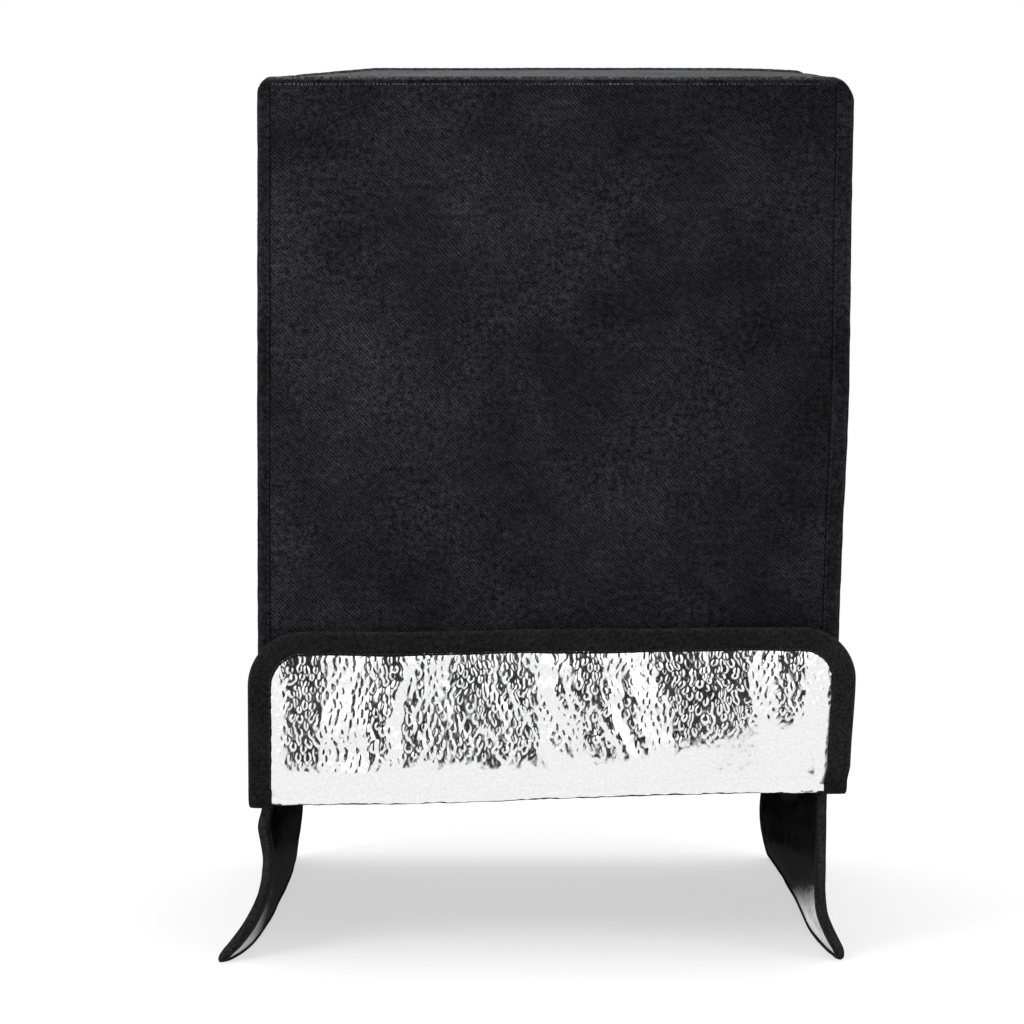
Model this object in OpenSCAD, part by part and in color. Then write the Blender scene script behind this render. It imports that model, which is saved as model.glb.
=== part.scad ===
// Soft enclosure tent for a desktop resin printer.
// Millimetres, +Z up. Origin: centre of the footprint, on the floor. The front faces -Y, left is -X.
// Every panel is a three-layer laminate: outer fabric, foam core, foil lining.
// The corner seams stop above the floor, so the lower part of each wall is a free flap.
// The front and back flaps are folded up against the walls outside; the side flaps hang.

/* [Overall size] */
// Width over the corner tapes, side to side
tent_w = 300; // [280:2:320]
// Depth over the corner tapes, front to back
tent_d = 300; // [280:2:320]
// Height of the top above the floor
tent_h = 450; // [420:5:520]

/* [Laminate] */
// Thickness of the outer fabric
fabric_t = 0.9; // [0.6:0.1:1.2]
// Thickness of the foam core
core_t = 2.4; // [1.8:0.1:3]
// Thickness of the foil lining
foil_t = 0.6; // [0.3:0.1:0.8]

/* [Flaps] */
// Height of the fold line above the floor, where the corner seams stop
fold_h = 87; // [70:1:110]
// Gap between the hem of a closed front or back flap and the floor
front_hem_gap = 3; // [1:0.5:6]
// Radius of the rounded free corners of the front and back flaps
flap_r = 28; // [20:1:34]
// Radius of the rounded lower corners of the side flaps
side_r = 8; // [8:1:30]
// How far the front and back flaps stand wider than the tent on each side
flap_over = 1.5; // [0:0.5:2]
// How far the left flap flares outward at its hem
left_flare = 1.8; // [0:0.2:3]
// How far the right flap leans inward at its hem
right_lean = 9; // [0:1:12]

/* [Binding tape] */
// Visible width of the tape on the flap edges
bind_w = 12; // [8:0.5:15]
// Visible width of the tape along the hem of the side flaps
side_hem_w = 3; // [2:0.5:6]
// Thickness of the binding tape on each face
bind_t = 0.7; // [0.5:0.1:0.9]
// Width of each leg of the corner tapes
corner_w = 8; // [6:0.5:12]
// Width of each leg of the tape round the top edge
top_w = 3; // [2.5:0.5:6]

/* [Hidden] */
$fn = 64;

// Signs along X and Y
LEFT = -1;
RIGHT = 1;
FRONT = -1;
BACK = 1;

// Laminate: each layer is [start, end], measured inward from the fabric's outer face
gap = 0.05;  // air between neighbouring layers
wall_t = fabric_t + core_t + foil_t + 2 * gap;
FABRIC = [0, fabric_t];
CORE = [fabric_t + gap, fabric_t + gap + core_t];
FOIL = [wall_t - foil_t, wall_t];

// Corner and top edge tapes
wrap_t = 1;  // tape thickness with its gap to the fabric
wrap_tape_t = wrap_t - gap;

// Body, to the fabric's outer face
half_w = tent_w / 2 - wrap_t;
half_d = tent_d / 2 - wrap_t;
joint_gap = 0.1;   // between panels or tapes that meet at an edge
fold_clear = 1;    // clear height above and below the fold line
panel_top = tent_h - wrap_t;
wall_bottom = fold_h + fold_clear;
wall_top = panel_top - wall_t - joint_gap;

// Flaps
flap_top = fold_h - fold_clear;
side_flap_bottom = 0;
side_flap_drop = flap_top - side_flap_bottom;
fold_axis_out = 1.5;  // fold axis outside the fabric's outer face
min_corner_r = 4;     // smallest corner radius of an inset outline
edge_t = 0.8;         // tape thickness beyond the laminate's edge
layer_inset = edge_t + gap;
front_half = tent_w / 2 + flap_over;
side_flap_clear = 0.8;  // from a side flap to the front and back flap tapes
side_half = half_d - wall_t - bind_t - side_flap_clear;

// Side flap curve
flare_power = 2.4;     // how late the left flap's flare sets in
sway_step = 0.005;     // step, as a share of the drop, for measuring the slope
slab_segments = 16;
slab_margin = 2;       // slab beyond the flap outline on every side

// Extra reach of cutting shapes
overcut = 1;
window_overcut = 3;
side_cut_reach = 60;   // to each side of the fabric's outer face
corner_overlap = 0.01;

black = [0.13, 0.13, 0.14];
tape_black = [0.10, 0.10, 0.11];
foam_white = [0.86, 0.86, 0.84];
foil_silver = [0.84, 0.85, 0.87];

// ---- top, walls and their tapes ----

// Lower coordinate of a wall layer whose outer face lies at side * half
function layer_start(side, half, layer) = side > 0 ? half - layer[1] : -half + layer[0];

module top_layer(layer) {
  translate([-half_w, -half_d, panel_top - layer[1]])
    cube([2 * half_w, 2 * half_d, layer[1] - layer[0]]);
}

// Front and back walls run the full width
module front_back_wall(side, layer) {
  translate([-half_w, layer_start(side, half_d, layer), wall_bottom])
    cube([2 * half_w, layer[1] - layer[0], wall_top - wall_bottom]);
}

// Side walls stand between the front and back walls
module side_wall(side, layer) {
  half_length = half_d - wall_t - joint_gap;
  translate([layer_start(side, half_w, layer), -half_length, wall_bottom])
    cube([layer[1] - layer[0], 2 * half_length, wall_top - wall_bottom]);
}

// L-shaped tape folded round one vertical corner
module corner_tape(side_x, side_y) {
  height = tent_h - top_w - joint_gap - wall_bottom;
  translate([side_x * tent_w / 2, side_y * tent_d / 2, wall_bottom])
    for (leg = [[corner_w, wrap_tape_t], [wrap_tape_t, corner_w]])
      translate([side_x > 0 ? -leg[0] : 0, side_y > 0 ? -leg[1] : 0, 0])
        cube([leg[0], leg[1], height]);
}

// Block centred on the tent axis, inset from the tent's outer size
module tent_block(inset, bottom, height) {
  translate([-tent_w / 2 + inset, -tent_d / 2 + inset, bottom])
    cube([tent_w - 2 * inset, tent_d - 2 * inset, height]);
}

// Tape folded over the top edge on all four sides
module top_edge() {
  bottom = tent_h - top_w;
  difference() {
    tent_block(0, bottom, top_w);
    // Room under the horizontal leg
    tent_block(wrap_tape_t, bottom - overcut, top_w - wrap_tape_t + overcut);
    // Opening inside the horizontal leg
    tent_block(top_w, bottom - overcut, top_w + 2 * overcut);
  }
}

// ---- flap outline ----

// Flat outline of a flap with its two lower corners rounded
module outline(half, bottom, top, radius) {
  translate([-half, bottom + radius])
    square([2 * half, top - bottom - radius]);
  translate([-half + radius, bottom])
    square([2 * half - 2 * radius, radius + corner_overlap]);
  for (side = [-1, 1])
    translate([side * (half - radius), bottom + radius])
      circle(r = radius);
}

// ---- front and back flaps, drawn hanging at the front ----

// The outline as a plate from y_from to y_to, inset at the sides and hem, raised at the top by rise
module plate(inset, y_from, y_to, rise = 0) {
  translate([0, y_to, 0])
    rotate([90, 0, 0])
      linear_extrude(y_to - y_from)
        outline(front_half - inset, front_hem_gap + inset, flap_top + rise,
                max(flap_r - inset, min_corner_r));
}

module flat_layer(layer) {
  plate(layer_inset, -half_d + layer[0], -half_d + layer[1]);
}

// Tape round the sides and hem
module flat_binding() {
  outer = -half_d;
  inner = -half_d + wall_t;
  difference() {
    plate(0, outer - bind_t, inner + bind_t);
    // Opening inside the tape
    plate(bind_w, outer - window_overcut, inner + window_overcut, overcut);
    // Slot for the laminate
    plate(edge_t, outer - gap, inner + gap, overcut);
  }
}

// Turns the hanging front flap half a turn about its fold axis, up against the wall outside
module fold_up() {
  translate([0, -half_d - fold_axis_out, fold_h])
    rotate([180, 0, 0])
      translate([0, half_d + fold_axis_out, -fold_h])
        children();
}

// Carries a front flap round to the back
module to_back() {
  rotate([0, 0, 180]) children();
}

// ---- side flaps, built on the +X side and mirrored for the left ----

// Outward offset of the flap's surface; drop runs from 0 at its top to 1 at its hem
function sway(side, drop) =
  side < 0 ? left_flare * pow(drop, flare_power)
           : -right_lean * (1.5 * drop - 0.5 * pow(drop, 3));
function sway_slope(side, drop) =
  (sway(side, drop + sway_step) - sway(side, drop - sway_step))
  / (2 * sway_step) / side_flap_drop;
// X of the face at a depth inside the outer face; the root keeps the thickness on the slope
function face_x(side, depth, drop) =
  half_w + sway(side, max(drop, 0))
  - depth * sqrt(1 + pow(sway_slope(side, max(drop, sway_step)), 2));
function face_point(side, depth, z) =
  [face_x(side, depth, (flap_top - z) / side_flap_drop), z];

// Curved slab between two depths, running along Y
module side_slab(side, depth_from, depth_to) {
  top = flap_top + slab_margin;
  bottom = side_flap_bottom - slab_margin;
  heights = [for (i = [0:slab_segments]) top + (bottom - top) * i / slab_segments];
  points = concat(
    [for (z = heights) face_point(side, depth_from, z)],
    [for (i = [slab_segments:-1:0]) face_point(side, depth_to, heights[i])]
  );
  translate([0, side_half + slab_margin, 0])
    rotate([90, 0, 0])
      linear_extrude(2 * (side_half + slab_margin))
        polygon(points);
}

// The flap outline as a block that runs through the slab along X
module side_cut(side_inset, hem_inset, rise = 0) {
  translate([half_w - side_cut_reach, 0, 0])
    rotate([90, 0, 90])
      linear_extrude(2 * side_cut_reach)
        outline(side_half - side_inset, side_flap_bottom + hem_inset, flap_top + rise,
                max(side_r - side_inset, min_corner_r));
}

module side_piece(side, depth_from, depth_to, inset, rise = 0) {
  intersection() {
    side_slab(side, depth_from, depth_to);
    side_cut(inset, inset, rise);
  }
}

module to_side(side) {
  mirror([side < 0 ? 1 : 0, 0, 0]) children();
}

module side_flap(side, layer) {
  to_side(side) side_piece(side, layer[0], layer[1], layer_inset);
}

// Tape round the sides and hem
module side_binding(side) {
  to_side(side)
    difference() {
      side_piece(side, -bind_t, wall_t + bind_t, 0);
      // Opening inside the tape
      side_cut(bind_w, side_hem_w, overcut);
      // Slot for the laminate
      side_piece(side, -gap, wall_t + gap, edge_t, overcut);
    }
}

// ---- one module per node ----

module top_panel_fabric() { color(black) top_layer(FABRIC); }
module top_panel_core() { color(foam_white) top_layer(CORE); }
module top_panel_foil() { color(foil_silver) top_layer(FOIL); }
module top_edge_tape() { color(tape_black) top_edge(); }

module front_wall_fabric() { color(black) front_back_wall(FRONT, FABRIC); }
module front_wall_core() { color(foam_white) front_back_wall(FRONT, CORE); }
module front_wall_foil() { color(foil_silver) front_back_wall(FRONT, FOIL); }
module back_wall_fabric() { color(black) front_back_wall(BACK, FABRIC); }
module back_wall_core() { color(foam_white) front_back_wall(BACK, CORE); }
module back_wall_foil() { color(foil_silver) front_back_wall(BACK, FOIL); }
module left_wall_fabric() { color(black) side_wall(LEFT, FABRIC); }
module left_wall_core() { color(foam_white) side_wall(LEFT, CORE); }
module left_wall_foil() { color(foil_silver) side_wall(LEFT, FOIL); }
module right_wall_fabric() { color(black) side_wall(RIGHT, FABRIC); }
module right_wall_core() { color(foam_white) side_wall(RIGHT, CORE); }
module right_wall_foil() { color(foil_silver) side_wall(RIGHT, FOIL); }

module front_left_corner_tape() { color(tape_black) corner_tape(LEFT, FRONT); }
module front_right_corner_tape() { color(tape_black) corner_tape(RIGHT, FRONT); }
module back_left_corner_tape() { color(tape_black) corner_tape(LEFT, BACK); }
module back_right_corner_tape() { color(tape_black) corner_tape(RIGHT, BACK); }

module front_flap_fabric() { color(black) fold_up() flat_layer(FABRIC); }
module front_flap_core() { color(foam_white) fold_up() flat_layer(CORE); }
module front_flap_foil() { color(foil_silver) fold_up() flat_layer(FOIL); }
module front_flap_binding() { color(tape_black) fold_up() flat_binding(); }
module back_flap_fabric() { color(black) to_back() fold_up() flat_layer(FABRIC); }
module back_flap_core() { color(foam_white) to_back() fold_up() flat_layer(CORE); }
module back_flap_foil() { color(foil_silver) to_back() fold_up() flat_layer(FOIL); }
module back_flap_binding() { color(tape_black) to_back() fold_up() flat_binding(); }

module left_flap_fabric() { color(black) side_flap(LEFT, FABRIC); }
module left_flap_core() { color(foam_white) side_flap(LEFT, CORE); }
module left_flap_foil() { color(foil_silver) side_flap(LEFT, FOIL); }
module left_flap_binding() { color(tape_black) side_binding(LEFT); }
module right_flap_fabric() { color(black) side_flap(RIGHT, FABRIC); }
module right_flap_core() { color(foam_white) side_flap(RIGHT, CORE); }
module right_flap_foil() { color(foil_silver) side_flap(RIGHT, FOIL); }
module right_flap_binding() { color(tape_black) side_binding(RIGHT); }

top_panel_fabric();
top_panel_core();
top_panel_foil();
top_edge_tape();
front_wall_fabric();
front_wall_core();
front_wall_foil();
back_wall_fabric();
back_wall_core();
back_wall_foil();
left_wall_fabric();
left_wall_core();
left_wall_foil();
right_wall_fabric();
right_wall_core();
right_wall_foil();
front_left_corner_tape();
front_right_corner_tape();
back_left_corner_tape();
back_right_corner_tape();
front_flap_fabric();
front_flap_core();
front_flap_foil();
front_flap_binding();
back_flap_fabric();
back_flap_core();
back_flap_foil();
back_flap_binding();
left_flap_fabric();
left_flap_core();
left_flap_foil();
left_flap_binding();
right_flap_fabric();
right_flap_core();
right_flap_foil();
right_flap_binding();
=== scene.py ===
"""Printer enclosure tent: a sewn black box with foil lining and a flap on each of its four sides.

The tent stands on z = 0, centred on the z axis, with its front towards -y and its left towards -x.
The front and back flaps are folded up outside the walls, and the side flaps hang down.
Shapes are worked out in millimetres in the CAD frame and written to the meshes in metres.
"""

import math
from collections import namedtuple
from functools import partialmethod

import bmesh
import bpy
import numpy as np
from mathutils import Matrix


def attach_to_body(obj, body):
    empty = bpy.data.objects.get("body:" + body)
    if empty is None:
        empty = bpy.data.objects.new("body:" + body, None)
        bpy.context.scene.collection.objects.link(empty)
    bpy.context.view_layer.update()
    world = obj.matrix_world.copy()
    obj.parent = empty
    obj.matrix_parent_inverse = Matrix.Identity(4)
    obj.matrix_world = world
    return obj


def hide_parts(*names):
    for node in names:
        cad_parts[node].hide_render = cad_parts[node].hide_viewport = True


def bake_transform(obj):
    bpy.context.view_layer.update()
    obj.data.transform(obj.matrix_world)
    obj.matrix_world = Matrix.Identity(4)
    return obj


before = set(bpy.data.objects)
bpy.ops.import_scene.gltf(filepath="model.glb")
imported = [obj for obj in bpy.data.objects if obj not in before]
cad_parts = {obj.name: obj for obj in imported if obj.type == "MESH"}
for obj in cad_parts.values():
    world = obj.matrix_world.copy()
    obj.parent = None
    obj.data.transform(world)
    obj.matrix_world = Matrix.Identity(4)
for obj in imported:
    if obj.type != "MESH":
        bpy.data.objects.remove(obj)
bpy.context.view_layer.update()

TAU = 2 * math.pi
HALF = 150.0            # half the width and half the depth of the body
TOP = 450.0             # height of the top
FOLD = 87.0             # height of the line the flaps turn on
FACE = HALF - 1.0       # outer face of the wall cloth
HINGE = HALF + 0.5      # distance of the front and back fold axes from the centre
FOIL_FACE, FOIL_BACK = 2.0, 1.42        # layers of a flap, measured out from its middle
CLOTH_FACE, CLOTH_BACK = -2.0, 1.36


# ---------------------------------------------------------------- small maths

def smooth(start, end, x):
    """Smooth step from 0 at start to 1 at end; start may lie above end."""
    t = np.clip((np.asarray(x, float) - start) / (end - start), 0, 1)
    return t * t * (3 - 2 * t)


def bell(x, width):
    return np.exp(-(x / width) ** 2)


def noise(x, y, seed):
    """Smooth noise in -1..1 on a unit lattice."""
    x, y = np.broadcast_arrays(np.asarray(x, float), np.asarray(y, float))
    table = np.random.RandomState(seed).uniform(-1, 1, (64, 64))
    i, j = np.floor(x).astype(int), np.floor(y).astype(int)
    x, y = x - i, y - j
    x = x ** 3 * (x * (x * 6 - 15) + 10)
    y = y ** 3 * (y * (y * 6 - 15) + 10)
    near = table[i % 64, j % 64] * (1 - x) + table[(i + 1) % 64, j % 64] * x
    far = table[i % 64, (j + 1) % 64] * (1 - x) + table[(i + 1) % 64, (j + 1) % 64] * x
    return near * (1 - y) + far * y


def curve(knots, blur):
    """A smoothed piecewise-linear function through (x, value) knots, given in rising order."""
    xs, values = np.array(knots, float).T
    samples = np.linspace(xs[0] - 4 * blur, xs[-1] + 4 * blur, 900)
    step = samples[1] - samples[0]
    reach = max(2, int(3 * blur / step))
    kernel = np.exp(-0.5 * ((np.arange(-reach, reach + 1) * step) / blur) ** 2)
    padded = np.pad(np.interp(samples, xs, values), reach, mode="edge")
    blurred = np.convolve(padded, kernel / kernel.sum(), mode="valid")
    return lambda x: np.interp(x, samples, blurred)


def points(*columns):
    """Stacks coordinates of any matching shapes into one array of points."""
    return np.stack(np.broadcast_arrays(*columns), -1).astype(float)


def axes(place):
    return np.moveaxis(place, -1, 0)


def side_of(x):
    return np.where(x < 0, -1.0, 1.0)


def spaced(start, end, step, multiple=1):
    """Even stations no further apart than step; the number of gaps is a multiple."""
    count = max(1, int(math.ceil(abs(end - start) / step / multiple))) * multiple
    return np.linspace(start, end, count + 1)


def joined(*runs):
    return np.unique(np.concatenate(runs))


def grid(rows, columns):
    return np.meshgrid(rows, columns, indexing="ij")


def travel(path):
    """Distance along a 2D polyline at each of its points."""
    return np.concatenate([[0], np.cumsum(np.hypot(*np.diff(path, axis=0).T))])


# ------------------------------------------------- the shape of the whole body

# (height, x offset) of the left and right walls
left_lean = curve([(60, 3.0), (120, 2.7), (169, 2.3), (300, 3.0), (450, 3.8)], 14)
right_lean = curve([(60, -3.6), (125, -3.2), (169, -2.5), (201, -1.6), (231, -0.6), (262, 0.9),
                    (292, 1.8), (383, 2.3), (450, 3.2)], 14)


def fold_rise(x):
    """How much the front fold line climbs towards the right."""
    return 6.4 * smooth(-125, 135, x)


def round_corner(a, b, radius_a, radius_b):
    """Turns the corner at a=0, b=0 into a quarter ellipse; a and b are distances inward."""
    inside = (a < radius_a) & (b < radius_b)
    part_a = np.where(inside, (radius_a - a) / radius_a, 0)
    part_b = np.where(inside, (radius_b - b) / radius_b, 0)
    round_a = part_a * np.sqrt(np.clip(1 - part_b * part_b / 2, 0, None))
    round_b = part_b * np.sqrt(np.clip(1 - part_a * part_a / 2, 0, None))
    return (np.where(inside, radius_a * (1 - round_a), a),
            np.where(inside, radius_b * (1 - round_b), b))


def rounding(place):
    x, y, z = axes(place)
    in_x, in_y, in_z = HALF - abs(x), HALF - abs(y), TOP - z
    in_x, in_z = round_corner(in_x, in_z, np.where(x < 0, 7.5, 12.5), np.where(x < 0, 8.5, 13.5))
    in_y, in_z = round_corner(in_y, in_z, 1.6, 1.6)
    in_x, in_y = round_corner(in_x, in_y, 4.5, 4.5)
    return points(side_of(x) * (HALF - in_x), side_of(y) * (HALF - in_y), TOP - in_z)


def sway(place):
    """Offset of the sewn body from its nominal box: lean, droop, crown and soft waves."""
    x, y, z = axes(place)
    right = (x + HALF) / (2 * HALF)
    tuck = 4.0 * smooth(-20, 150, y) * (1 - smooth(90, 240, z))
    move_x = (1 - right) * left_lean(z) + right * (right_lean(z) - tuck)
    # the walls bulge in the middle and are held at the corners, the top and the bottom
    held = smooth(178, 250, z) * smooth(449, 395, z)
    mid_x = np.clip(1 - (x / HALF) ** 2, 0, 1)
    mid_y = np.clip(1 - (y / HALF) ** 2, 0, 1)
    wave = (1.5 * mid_x + 0.75 * noise(x / 52 + 3.1, z / 66, 11) * mid_x ** 0.5
            + 0.28 * noise(x / 19, z / 30 + 5, 12) * mid_x ** 0.5)
    wave = np.where(y < 0, wave, wave + 0.6 * noise(x / 60, z / 60, 13) * mid_x)
    move_y = side_of(y) * (y / HALF) ** 2 * held * wave
    wave = (0.5 * mid_y + 0.5 * noise(y / 50, z / 70 + 9, 14) * mid_y ** 0.5
            + 0.2 * noise(y / 17, z / 28, 15) * mid_y ** 0.5)
    move_x = move_x + side_of(x) * (x / HALF) ** 2 * held * wave
    # the top is crowned, and its left and right edges droop towards the back
    crown = 1.3 * mid_x * mid_y + 0.55 * noise(x / 46 + 1, y / 46, 16) * (mid_x * mid_y) ** 0.5
    high = smooth(250, 450, z)
    rear = np.clip((y + 150) / 300, 0, 1)
    move_z = smooth(380, 450, z) * crown
    move_z = move_z - 4.4 * np.clip((-100 - x) / 50, 0, 1) * rear * high
    move_z = move_z - 2.0 * np.clip((x - 96) / 54, 0, 1) ** 1.6 * rear * high
    rise = fold_rise(x) * (1 - smooth(90, 230, z)) * smooth(0, 80, z) * smooth(-70, -140, y)
    return points(move_x, move_y, move_z + rise)


def body_map(place):
    rounded = rounding(place)
    return rounded + sway(rounded)


# ------------------------------------------------------------ shapes of the flaps
# Flap coordinates: along the fold, reach from the fold to the free edge, out from the middle layer.

# (along, reach) of the crease across the front flap
crease = curve([(-150, 16), (-110, 15.5), (-60, 15), (20, 15), (60, 19), (80, 23.5), (100, 29),
                (130, 38), (150, 45)], 7)

# (along, slope) across the front flap: flat strips of laminate alternate with leaning ones
PLEAT_X = np.linspace(-170, 170, 1701)
PLEAT_SLOPE = curve([
    (-152, 0.0), (-139, 0.05), (-136, 0.17), (-134.5, 0.02), (-131, -0.01), (-116, 0.01),
    (-110, 0.19), (-93, 0.21), (-89, 0.06), (-85, 0.13), (-79, 0.03), (-74, -0.16), (-56, -0.20),
    (-46, -0.18), (-41, -0.04), (-34, 0.05), (-29, -0.13), (-22, 0.02), (-15, 0.03), (-9, 0.19),
    (7, 0.21), (11, 0.03), (24, -0.02), (30, -0.16), (46, -0.20), (52, -0.08), (57, 0.02),
    (74, -0.02), (100, 0.02), (104, 0.19), (113, 0.20), (117, 0.04), (126, -0.09), (133, 0.02),
    (152, 0.0)], 1.5)(PLEAT_X)
PLEAT_SLOPE = PLEAT_SLOPE - PLEAT_SLOPE.mean() * (abs(PLEAT_X) < HALF)
PLEAT_HEIGHT = np.cumsum(PLEAT_SLOPE) * (PLEAT_X[1] - PLEAT_X[0])
PLEAT_HEIGHT = PLEAT_HEIGHT - PLEAT_HEIGHT.min()
# (along, sideways drift per mm of reach)
pleat_drift = curve([(-150, 0.0), (-110, -0.08), (-75, -0.24), (-45, 0.02), (-25, 0.22),
                     (20, 0.16), (60, 0.22), (90, 0.10), (110, -0.06), (150, 0.0)], 8)
# (along, size of the small waves)
ripple_size = curve([(-150, 0.35), (-134, 0.10), (-115, 0.12), (-108, 0.62), (50, 0.62),
                     (60, 0.16), (100, 0.16), (108, 0.5), (150, 0.45)], 5)


def front_waves(along, reach):
    """Upright folds of the laminate, fading out near the taped edges and the fold."""
    fade = 0.9 * smooth(0, 1, (reach - 2.5) / (crease(along) - 5.0))
    fade = fade * (1 - 0.6 * smooth(66, 92, reach))
    fade = fade * smooth(144, 134, -along) * smooth(138, 127, along)
    x = (along - pleat_drift(along) * (72 - reach) + 3.2 * noise(reach / 19, along / 34, 5)
         + 1.1 * noise(reach / 7.5, along / 15, 6))
    pleats = np.interp(x, PLEAT_X, PLEAT_HEIGHT)
    pleats = pleats * (1.0 + 0.22 * noise(along / 55, reach / 30 + 2, 7))
    ripples = noise(x / 6.5 + 2.0, reach / 26 + 3, 22) + 0.30 * noise(x / 3.1, reach / 9, 24)
    return (pleats + ripple_size(along) * ripples) * fade


def front_map(place):
    along, reach, out = axes(place)
    spread = 0.1 + 1.6 * smooth(0, 10, reach) + 2.4 * smooth(5, 60, reach)
    spread = np.where(along < 0, -0.9 * abs(along) / HALF, spread * along / HALF)
    # the laminate leans away from the wall up to the crease and falls back towards the hem
    bend = crease(along)
    belly = 0.6 * np.sin(np.clip(reach / 7, 0, 1) * math.pi / 2)
    belly = belly + 0.088 * (bend - 2.0 * np.logaddexp(0, (bend - reach) / 2.0))
    belly = belly - 1.6 * smooth(42, 84, reach)
    # its two ends stay flat, so that it clears the side flaps when it hangs
    belly = belly * smooth(144, 130, -along) * smooth(138.5, 125, along)
    belly = belly + 0.7 * bell(along - 134.0, 3.0) * smooth(-1, 4, reach) * smooth(66, 36, reach)
    rise = (fold_rise(along) * (1 - 0.62 * smooth(3, 84, reach))
            + 0.5 * noise(along / 50, reach / 40, 23) * smooth(30, 80, reach))
    return points(along + spread, -(154 + out + belly + front_waves(along, reach)),
                  FOLD + reach + rise)


def back_map(place):
    along, reach, out = axes(place)
    waves = 0.7 * noise(along / 16 + 3, reach / 60, 31) + 0.3 * noise(along / 8, reach / 30, 32)
    waves = waves * smooth(2, 26, reach) * smooth(84, 58, reach)
    waves = waves * smooth(144, 126, -along) * smooth(131, 116, along)
    belly = 2.0 * np.sin(np.clip(reach / 14, 0, 1) * math.pi / 2)
    belly = belly * (1 - 0.75 * smooth(40, 84, reach))
    belly = belly * smooth(144, 130, -along) * smooth(131, 114, along)
    flat = points(along, 154 + out + belly + waves, FOLD + reach)
    return flat + sway(points(along, HALF, FOLD + reach))


# (height, distance outside the wall) of the side flaps at stations from front to back
left_front = curve([(0, 27.6), (2, 25.6), (8, 19.0), (16.3, 12.0), (23.9, 7.0), (32.7, 2.9),
                    (41.4, 0.4), (52, -0.8), (59, 0.2), (69, 2.2), (77, -0.6), (84, 0)], 1.8)
left_rear = curve([(0, 0.2), (14, -1.6), (28, -3.6), (55, -3.0), (84, 0)], 5)
right_front = curve([(0, 8.4), (6, 5.4), (14, 1.0), (22, -3.0), (32, -4.0), (60, -4.2),
                     (78, -4.4), (84, -3.0)], 2.2)
right_mid = curve([(0, -4.4), (12, -5.6), (30, -6.0), (60, -3.2), (84, 0)], 5)
right_rear = curve([(0, -9.0), (7, -11.5), (21, -14.5), (34, -14.6), (60, -8), (84, 0)], 4)
SIDE_HALF = 143.5       # half the depth of a side flap


def frontness(y):
    """0 at the back end of a side flap, 1 at its front end."""
    return np.clip((SIDE_HALF - y) / (2 * SIDE_HALF), 0, 1)


def side_out(side, y, z):
    """Distance of a side flap's outer face from the centre; side is -1 left, 1 right."""
    wall_place = points(side * FACE, y, np.maximum(z, FOLD))
    wall_x = abs(wall_place[..., 0] + sway(wall_place)[..., 0])
    front = frontness(y)
    if side < 0:
        rear = left_rear(z)
        flare = rear + (left_front(z) - rear) * (0.55 * front ** 2.2 + 0.45 * front ** 14)
    else:
        front, rear = front ** 7, (1 - front) ** 3
        flare = right_front(z) * front + right_rear(z) * rear + right_mid(z) * (1 - front - rear)
    flare = flare + 0.35 * noise(y / 38 + side, z / 30, 41 + side) * smooth(80, 55, z)
    return wall_x + flare * smooth(87, 80, z)


def side_map(side):
    def to_body(place):
        y, reach, out = axes(place)
        z = FOLD - reach
        front = frontness(y)
        # the corner swings forward only where it is flared clear of the front flap
        if side < 0:
            lift = 0.2
            swing = 12.0 * front ** 5 * np.clip(1 - z / 24, 0, 1) ** 1.4
        else:
            lift = 0.7 * (1 - front) ** 2 + 0.2
            swing = 7.0 * front ** 6 * np.clip(1 - z / 11, 0, 1) ** 1.2
        z = np.where(z < FOLD, z + lift * (1 - np.clip(z, 0, FOLD) / FOLD), z)
        gap = 0.5
        slope_y = (side_out(side, y + gap, z) - side_out(side, y - gap, z)) / (2 * gap)
        slope_z = (side_out(side, y, z + gap) - side_out(side, y, z - gap)) / (2 * gap)
        normal = points(1, -slope_y, -slope_z)
        normal /= np.linalg.norm(normal, axis=-1)[..., None]
        moved = points(side_out(side, y, z), y, z) - normal * (2.0 + out)[..., None]
        droop = sway(points(side * FACE, y, np.maximum(z, 60)))[..., 2]
        moved[..., 2] += droop * smooth(0, 70, z)
        moved[..., 2] = np.maximum(moved[..., 2], 0.15)
        moved[..., 1] -= swing
        moved[..., 0] *= side
        return moved
    return to_body


# ----------------------------------------------------------------- mesh making

# Millimetre points, quads, UVs in millimetres, other faces, and the painted light at each point:
# painted highlight above 0, painted shade below 0.
Part = namedtuple("Part", "verts quads uvs ngons wear", defaults=((), None))


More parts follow.
